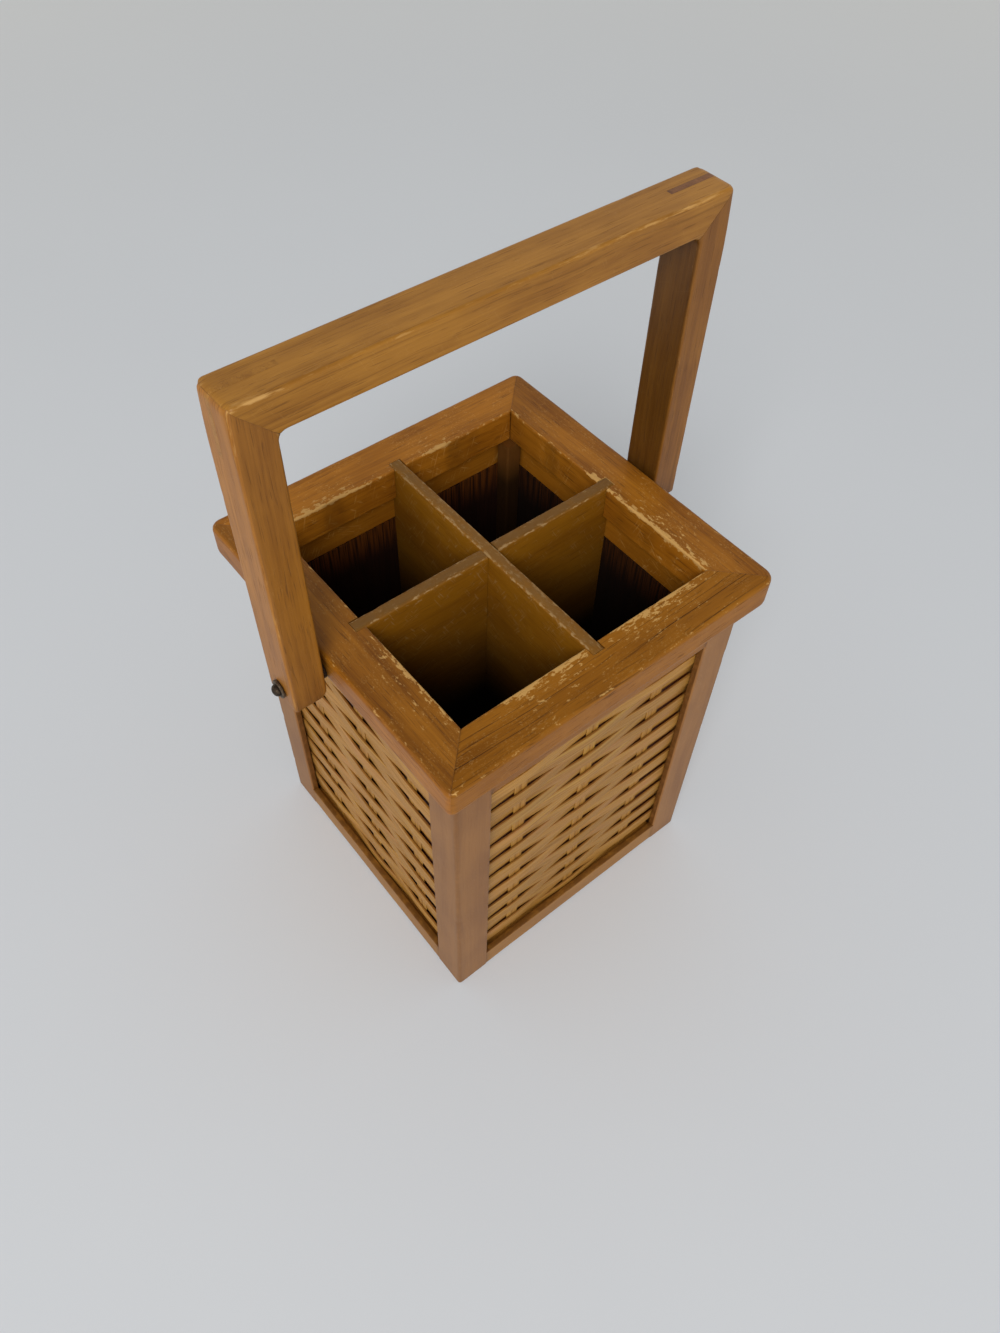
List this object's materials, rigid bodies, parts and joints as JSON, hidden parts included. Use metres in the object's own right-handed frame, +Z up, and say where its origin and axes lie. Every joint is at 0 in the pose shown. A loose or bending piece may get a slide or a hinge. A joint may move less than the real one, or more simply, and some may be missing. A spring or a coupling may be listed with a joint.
{
  "type": "utensil caddy",
  "caption": "Square wooden utensil caddy with woven reed sides, crossed dividers, a mitred rim and a carrying handle that swings down on side screws.",
  "frame": {"origin": "middle of the footprint at the level of the feet", "axes": "+Z up; the handle's pivot line runs along X, so the left side with one pivot is -X, the front is -Y"},
  "size_m": [0.2006, 0.16, 0.318],
  "materials": {
    "rim_wood": "oiled golden-brown hardwood with open dark pores, worn pale along the inner edges",
    "frame_wood": "satin pinkish-brown hardwood",
    "reed": "flat tan reed, slightly fibrous",
    "liner_board": "thin board with a very dark red-brown stain",
    "divider_wood": "olive-brown board with grey-brown worn top edges",
    "handle_wood": "satin golden-brown hardwood with worn edges",
    "spline_wood": "dark purple-brown wood key",
    "screw_steel": "dark bronzed steel",
    "washer_steel": "dull tarnished steel"
  },
  "bodies": {
    "caddy": {"front_rim_rail": "rim_wood", "right_rim_rail": "rim_wood", "back_rim_rail": "rim_wood", "left_rim_rail": "rim_wood", "front_upper_rail": "frame_wood", "right_upper_rail": "frame_wood", "back_upper_rail": "frame_wood", "left_upper_rail": "frame_wood", "front_lower_rail": "frame_wood", "right_lower_rail": "frame_wood", "back_lower_rail": "frame_wood", "left_lower_rail": "frame_wood", "front_left_post": "frame_wood", "front_right_post": "frame_wood", "back_right_post": "frame_wood", "back_left_post": "frame_wood", "front_woven_mat": "reed", "right_woven_mat": "reed", "back_woven_mat": "reed", "left_woven_mat": "reed", "front_stake_1": "reed", "front_stake_2": "reed", "front_stake_3": "reed", "right_stake_1": "reed", "right_stake_2": "reed", "right_stake_3": "reed", "back_stake_1": "reed", "back_stake_2": "reed", "back_stake_3": "reed", "left_stake_1": "reed", "left_stake_2": "reed", "left_stake_3": "reed", "front_liner": "liner_board", "right_liner": "liner_board", "back_liner": "liner_board", "left_liner": "liner_board", "bottom_board": "liner_board", "crosswise_divider": "divider_wood", "lengthwise_divider": "divider_wood", "left_pivot_screw": "screw_steel", "right_pivot_screw": "screw_steel", "left_outer_washer": "washer_steel", "right_outer_washer": "washer_steel", "left_spacer_washer": "washer_steel", "right_spacer_washer": "washer_steel"},
    "handle": {"handle_bar": "handle_wood", "handle_left_leg": "handle_wood", "handle_right_leg": "handle_wood", "handle_left_spline": "spline_wood", "handle_right_spline": "spline_wood"}
  },
  "joints": [
    {"name": "handle_swing", "type": "hinge", "parent": "caddy", "child": "handle", "pos_m": [0, 0, 0.1872], "axis": [1, 0, 0], "range_deg": [-135, 135]}
  ]
}
